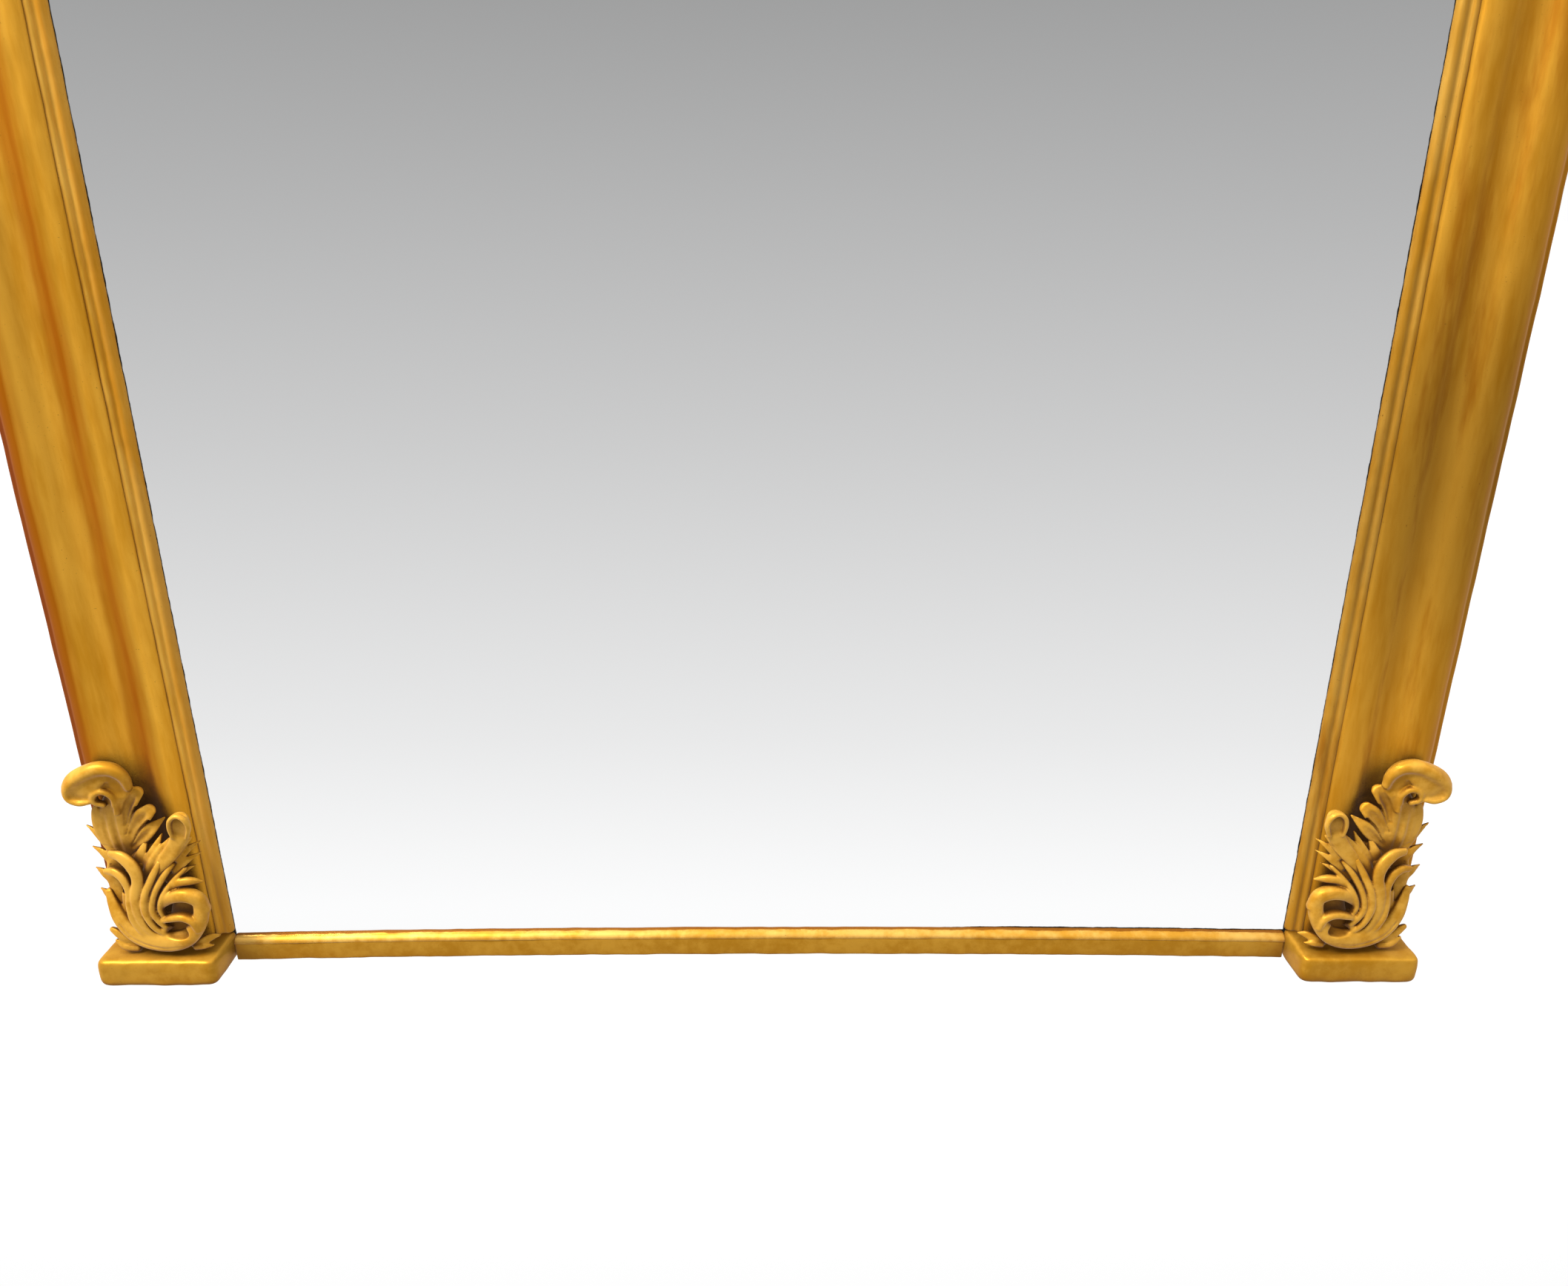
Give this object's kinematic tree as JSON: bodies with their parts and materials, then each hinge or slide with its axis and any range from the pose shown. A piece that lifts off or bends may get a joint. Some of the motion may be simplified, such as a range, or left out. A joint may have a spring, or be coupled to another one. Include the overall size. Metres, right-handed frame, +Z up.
{
  "type": "overmantel mirror",
  "caption": "Tall gilded overmantel mirror with moulded frame, rounded shoulders, acanthus sprays on foot blocks, a carved crest, boarded back and swinging hanger rings.",
  "frame": {"origin": "middle of the bounding box on the surface that the foot blocks stand on", "axes": "+X to the viewer's right, +Y towards the wall, +Z up"},
  "size_m": [1.396, 0.0944, 1.6845],
  "materials": {
    "gilt_moulding": "worn gold leaf over red bole and gesso",
    "gilt_ornament": "worn gold leaf over carved leaves",
    "pine": "bare aged pine",
    "backboard": "rough sawn aged pine",
    "mirror": "silvered glass",
    "brass": "dull old brass",
    "steel": "dark iron"
  },
  "bodies": {
    "frame": {"backboard_1": "backboard", "backboard_2": "backboard", "backboard_3": "backboard", "backboard_4": "backboard", "backboard_5": "backboard", "backboard_brads": "steel", "bottom_carcass_rail": "pine", "bottom_fascia": "gilt_moulding", "bottom_slip": "gilt_moulding", "carcass_dowels": "pine", "crest_backing": "pine", "crest_shell": "gilt_ornament", "foot_block_screws": "steel", "glazing_blocks": "pine", "hanger_screws": "steel", "left_crest_crook_leaf": "gilt_ornament", "left_crest_inner_leaf": "gilt_ornament", "left_crest_outer_leaf": "gilt_ornament", "left_crest_scroll_leaf": "gilt_ornament", "left_foot_block": "gilt_moulding", "left_foot_crook_leaf": "gilt_ornament", "left_foot_inner_leaf": "gilt_ornament", "left_foot_outer_leaf": "gilt_ornament", "left_foot_scroll_leaf": "gilt_ornament", "left_hanger_strap": "brass", "left_inner_sprig": "gilt_ornament", "left_outer_sprig": "gilt_ornament", "left_shoulder_board": "pine", "left_shoulder_moulding": "gilt_moulding", "left_shoulder_slip": "gilt_moulding", "left_side_moulding": "gilt_moulding", "left_side_slip": "gilt_moulding", "left_stile": "pine", "mirror_plate": "mirror", "ornament_pins": "steel", "right_crest_crook_leaf": "gilt_ornament", "right_crest_inner_leaf": "gilt_ornament", "right_crest_outer_leaf": "gilt_ornament", "right_crest_scroll_leaf": "gilt_ornament", "right_foot_block": "gilt_moulding", "right_foot_crook_leaf": "gilt_ornament", "right_foot_inner_leaf": "gilt_ornament", "right_foot_outer_leaf": "gilt_ornament", "right_foot_scroll_leaf": "gilt_ornament", "right_hanger_strap": "brass", "right_inner_sprig": "gilt_ornament", "right_outer_sprig": "gilt_ornament", "right_shoulder_board": "pine", "right_shoulder_moulding": "gilt_moulding", "right_shoulder_slip": "gilt_moulding", "right_side_moulding": "gilt_moulding", "right_side_slip": "gilt_moulding", "right_stile": "pine", "top_carcass_rail": "pine", "top_moulding": "gilt_moulding", "top_slip": "gilt_moulding"},
    "left_ring": {"left_hanger_ring": "brass"},
    "right_ring": {"right_hanger_ring": "brass"}
  },
  "joints": [
    {"name": "left_ring_swing", "type": "hinge", "parent": "frame", "child": "left_ring", "pos_m": [-0.6395, 0.0435, 1.1475], "axis": [1, 0, 0], "range_deg": [0, 150]},
    {"name": "right_ring_swing", "type": "hinge", "parent": "frame", "child": "right_ring", "pos_m": [0.6395, 0.0435, 1.1475], "axis": [1, 0, 0], "range_deg": [0, 150]}
  ]
}
